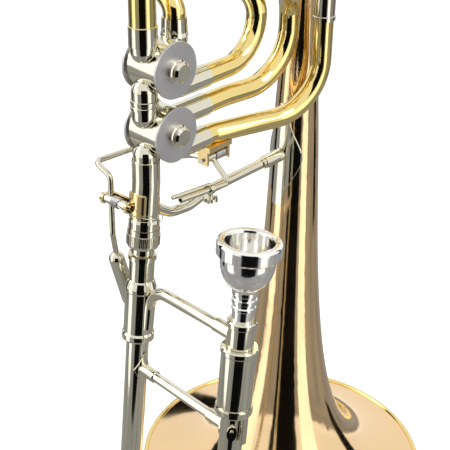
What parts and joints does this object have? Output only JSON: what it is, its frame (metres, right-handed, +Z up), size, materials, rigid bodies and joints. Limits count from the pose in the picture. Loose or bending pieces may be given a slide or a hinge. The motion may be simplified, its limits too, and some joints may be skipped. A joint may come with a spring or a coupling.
{
  "type": "double-trigger bass trombone",
  "caption": "Bass trombone with a bell, curved tuning slides, rotary valves worked by two levers, and a long hand slide with a mouthpiece.",
  "frame": {"origin": "centre of the bell's rim, on the rim's edge plane", "axes": "+Z up the bell's axis to the tuning slides, -Y from the bell's axis to the neck, +X to the mouthpiece side of the hand slide"},
  "size_m": [0.2412, 0.3779, 1.1752],
  "materials": {
    "lacquered_brass": "polished under clear lacquer",
    "rose_brass": "polished under clear lacquer",
    "nickel_silver": "polished",
    "matt_nickel": "satin",
    "silver_plate": "polished",
    "steel": "bright",
    "pale_brass": "polished",
    "rubber": "matt",
    "cork": "matt"
  },
  "bodies": {
    "instrument": {"bell": "rose_brass", "bell_rim_bead": "lacquered_brass", "bell_guard_plate": "nickel_silver", "bell_brace": "nickel_silver", "bell_brace_flange": "pale_brass", "neck_pipe": "nickel_silver", "neck_receiver": "nickel_silver", "lower_valve_casing": "nickel_silver", "upper_valve_casing": "nickel_silver", "valve_link_tube": "nickel_silver", "valve_end_plates": "matt_nickel", "valve_bearing_caps": "nickel_silver", "stop_bumpers": "rubber", "neck_slide_sleeve": "nickel_silver", "bell_slide_sleeve": "nickel_silver", "first_loop_inlet": "lacquered_brass", "first_loop_outlet": "lacquered_brass", "second_loop_inlet": "lacquered_brass", "second_loop_outlet": "lacquered_brass", "rear_port_ferrule": "nickel_silver", "first_slide_sleeves": "nickel_silver", "second_slide_sleeves": "nickel_silver", "loop_stays": "nickel_silver", "lower_lever_bracket": "pale_brass", "upper_lever_bracket": "pale_brass", "lever_pivot_screws": "steel", "lever_springs": "steel", "neck_barrel": "nickel_silver", "mouth_barrel": "nickel_silver", "barrel_corks": "cork", "inner_slide_tubes": "nickel_silver", "inner_slide_brace": "nickel_silver", "mouthpiece_receiver": "nickel_silver"},
    "receiver_nut": {"receiver_nut": "nickel_silver"},
    "lower_lever": {"lower_lever": "nickel_silver", "lower_lever_pad": "nickel_silver"},
    "lower_rotor": {"lower_rotor": "lacquered_brass", "lower_stop_arm": "nickel_silver"},
    "lower_link": {"lower_link": "steel"},
    "upper_lever": {"upper_lever": "nickel_silver"},
    "finger_rod": {"finger_rod": "nickel_silver", "finger_rod_screw": "nickel_silver"},
    "upper_rotor": {"upper_rotor": "lacquered_brass", "upper_stop_arm": "nickel_silver"},
    "upper_link": {"upper_link": "steel"},
    "main_tuning_slide": {"main_slide_legs": "nickel_silver", "main_slide_bow": "lacquered_brass", "main_slide_brace": "nickel_silver"},
    "first_tuning_slide": {"first_slide_bow": "lacquered_brass", "first_slide_brace": "nickel_silver"},
    "second_tuning_slide": {"second_slide_bow": "lacquered_brass", "second_slide_brace": "nickel_silver"},
    "mouthpiece": {"mouthpiece": "silver_plate"},
    "slide_lock_ring": {"slide_lock_ring": "nickel_silver"},
    "outer_hand_slide": {"outer_slide_tubes": "nickel_silver", "outer_slide_brace": "nickel_silver", "hand_slide_bow": "lacquered_brass", "end_bumper": "rubber"},
    "water_key": {"water_key": "nickel_silver", "water_key_pad": "cork"}
  },
  "joints": [
    {"name": "hand_slide", "type": "slide", "parent": "instrument", "child": "outer_hand_slide", "axis": [0, -0.1016, -0.9948], "range_m": [0, 0.58]},
    {"name": "lower_lever_press", "type": "hinge", "parent": "instrument", "child": "lower_lever", "pos_m": [-0.014, -0.172, 0.3103], "axis": [-1, 0, 0], "range_deg": [0, 20.8], "stiffness_Nm_per_rad": 0.3, "springref_deg": -17.19},
    {"name": "lower_rotor_turn", "type": "hinge", "parent": "instrument", "child": "lower_rotor", "pos_m": [0, -0.1442, 0.3577], "axis": [-1, 0, 0], "range_deg": [0, 90]},
    {"name": "lower_link_swing", "type": "hinge", "parent": "lower_lever", "child": "lower_link", "pos_m": [-0.0252, -0.13713, 0.331], "axis": [1, 0, 0], "range_deg": [0, 30]},
    {"name": "upper_lever_press", "type": "hinge", "parent": "instrument", "child": "upper_lever", "pos_m": [0.001, -0.0935, 0.3222], "axis": [0, 1, 0], "range_deg": [0, 28.7], "stiffness_Nm_per_rad": 0.3, "springref_deg": -17.19},
    {"name": "upper_rotor_turn", "type": "hinge", "parent": "instrument", "child": "upper_rotor", "pos_m": [0, -0.1442, 0.401], "axis": [1, 0, 0], "range_deg": [0, 90]},
    {"name": "upper_link_swing", "type": "hinge", "parent": "upper_rotor", "child": "upper_link", "pos_m": [-0.0316, -0.13713, 0.39393], "axis": [-1, 0, 0], "range_deg": [0, 90]},
    {"name": "finger_rod_adjust", "type": "slide", "parent": "upper_lever", "child": "finger_rod", "axis": [0, -0.9951, 0.0985], "range_m": [-0.012, 0.002]},
    {"name": "main_tuning", "type": "slide", "parent": "instrument", "child": "main_tuning_slide", "axis": [0, 0, 1], "range_m": [0, 0.05]},
    {"name": "first_valve_tuning", "type": "slide", "parent": "instrument", "child": "first_tuning_slide", "axis": [0, 0, 1], "range_m": [0, 0.09]},
    {"name": "second_valve_tuning", "type": "slide", "parent": "instrument", "child": "second_tuning_slide", "axis": [0, 0, 1], "range_m": [0, 0.08]},
    {"name": "receiver_nut_turn", "type": "hinge", "parent": "instrument", "child": "receiver_nut", "pos_m": [0, -0.16217, 0.28421], "axis": [0, 0.1016, 0.9948], "continuous": true},
    {"name": "slide_lock_turn", "type": "hinge", "parent": "instrument", "child": "slide_lock_ring", "pos_m": [0.09654, -0.17974, 0.20529], "axis": [0, 0.1016, 0.9948], "range_deg": [0, 20]},
    {"name": "mouthpiece_pull", "type": "slide", "parent": "instrument", "child": "mouthpiece", "axis": [0, 0.1016, 0.9948], "range_m": [0, 0.034]},
    {"name": "water_key_press", "type": "hinge", "parent": "outer_hand_slide", "child": "water_key", "pos_m": [0.04967, -0.23241, -0.4982], "axis": [0, 0.1016, 0.9948], "range_deg": [0, 12], "stiffness_Nm_per_rad": 0.02, "springref_deg": -28.65}
  ],
  "couplings": [
    {"joint": "lower_rotor_turn", "follows": "lower_lever_press", "ratio": 4.326},
    {"joint": "lower_link_swing", "follows": "lower_lever_press", "ratio": 1.4154},
    {"joint": "upper_rotor_turn", "follows": "upper_lever_press", "ratio": 3.135},
    {"joint": "upper_link_swing", "follows": "upper_lever_press", "ratio": 3.135}
  ]
}
